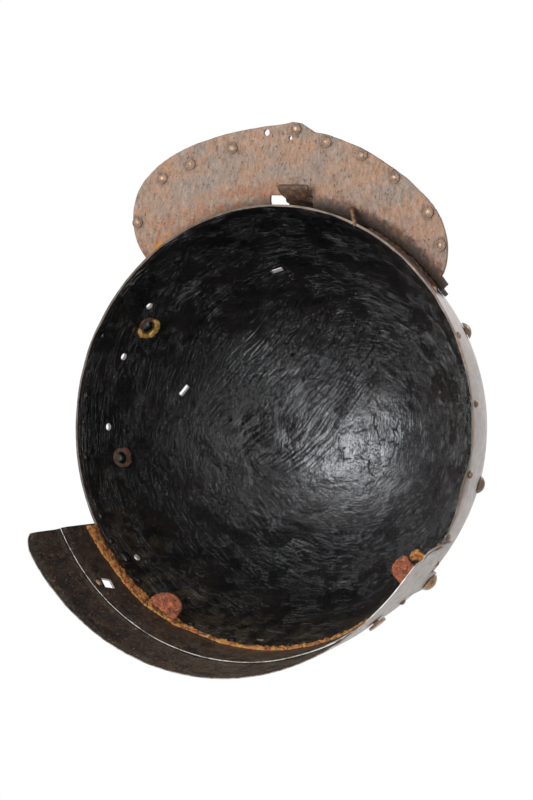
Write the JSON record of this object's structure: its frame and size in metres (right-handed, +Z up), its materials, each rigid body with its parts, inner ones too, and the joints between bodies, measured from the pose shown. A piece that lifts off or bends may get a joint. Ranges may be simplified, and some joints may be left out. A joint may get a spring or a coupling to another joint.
{
  "type": "combat helmet",
  "caption": "Antique iron cavalry helmet: bowl-shaped skull with a flat riveted peak, a sliding nasal bar held by a wing screw, and a neck guard of overlapping lames.",
  "frame": {"origin": "centre of the skull's rim circle, in the rim plane", "axes": "+Z up to the crown, -Y to the front with the peak, +Y to the nape, +X to the wearer's left"},
  "size_m": [0.222, 0.2766, 0.1754],
  "materials": {
    "skull_iron": "worn polished sheet iron, brown stains outside, chipped glossy black paint inside",
    "peak_iron": "pitted sheet iron under a thin pinkish brown rust",
    "bar_iron": "dark brown forged iron",
    "lame_iron": "dark brown mottled sheet iron, paler and worn outside",
    "rivet_iron": "rusty hammered rivet heads",
    "rivet_brass": "dull old brass",
    "leather_ochre": "cracked ochre leather stained with rust",
    "leather_red": "dry red brown leather"
  },
  "bodies": {
    "shell": {"skull": "skull_iron", "peak": "peak_iron", "peak_root_rivets": "rivet_iron", "peak_edge_rivets": "rivet_iron", "peak_edge_washers": "rivet_iron", "nasal_staple": "bar_iron", "nasal_staple_rivets": "rivet_iron", "neck_lame_upper": "lame_iron", "lame_pivot_rivet_left": "rivet_brass", "lame_pivot_rivet_right": "rivet_brass", "upper_lame_rivets": "rivet_brass", "nape_rivets": "rivet_iron", "lame_inner_rivets": "rivet_iron", "leather_band": "leather_ochre", "leather_tab_left": "leather_red", "leather_tab_right": "leather_red", "strap_rivets": "rivet_iron", "strap_washers": "rivet_iron", "lining_rivets": "rivet_iron"},
    "nasal": {"nasal_bar": "bar_iron"},
    "clamp_screw": {"nasal_clamp_screw": "rivet_brass"},
    "lower_lame": {"neck_lame_lower": "lame_iron", "lame_disc_rivets": "rivet_iron"}
  },
  "joints": [
    {"name": "nasal_slide", "type": "slide", "parent": "shell", "child": "nasal", "axis": [0, 0.1736, 0.9848], "range_m": [-0.06, 0]},
    {"name": "clamp_screw_turn", "type": "hinge", "parent": "shell", "child": "clamp_screw", "pos_m": [0.0055, -0.11084, 0.0302], "axis": [0, -0.9848, 0.1736], "range_deg": [0, 180]},
    {"name": "lower_lame_rock", "type": "hinge", "parent": "shell", "child": "lower_lame", "pos_m": [0, 0.0724, 0.0089], "axis": [1, 0, 0], "range_deg": [0, 6]}
  ]
}
